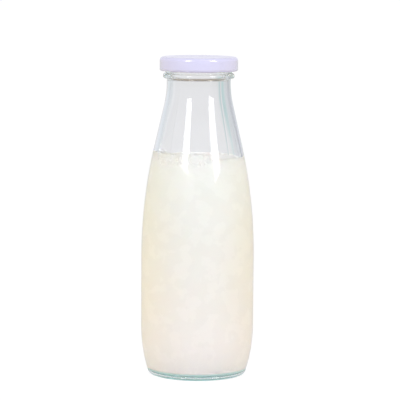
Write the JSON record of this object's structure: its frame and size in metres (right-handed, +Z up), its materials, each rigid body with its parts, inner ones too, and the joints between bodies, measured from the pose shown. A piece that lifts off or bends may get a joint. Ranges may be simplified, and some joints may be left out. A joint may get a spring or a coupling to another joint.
{
  "type": "glass milk bottle",
  "caption": "Round glass milk bottle with sloping shoulders, filled with milk and closed by a twist-off metal lug cap.",
  "frame": {"origin": "centre of the standing ring, on the surface that the bottle stands on", "axes": "+Z up along the bottle's axis, -Y towards the viewer of the picture"},
  "size_m": [0.074, 0.074, 0.2084],
  "materials": {
    "clear_glass": "clear, glossy",
    "milk": "opaque white liquid",
    "lacquered_tinplate": "glossy lavender lacquer",
    "sealing_compound": "satin, off-white"
  },
  "bodies": {
    "bottle": {"glass_bottle": "clear_glass", "milk_fill": "milk"},
    "cap_seal": {"cap_gasket": "sealing_compound"},
    "cap": {"cap_shell": "lacquered_tinplate"}
  },
  "joints": [
    {"name": "cap_rise", "type": "slide", "parent": "bottle", "child": "cap_seal", "axis": [0, 0, 1], "range_m": [0, 0.012]},
    {"name": "cap_twist", "type": "hinge", "parent": "cap_seal", "child": "cap", "pos_m": [0, 0, 0.2], "axis": [0, 0, 1], "range_deg": [0, 360]}
  ],
  "couplings": [
    {"joint": "cap_rise", "follows": "cap_twist", "m_per_rad": 0.0019098}
  ]
}
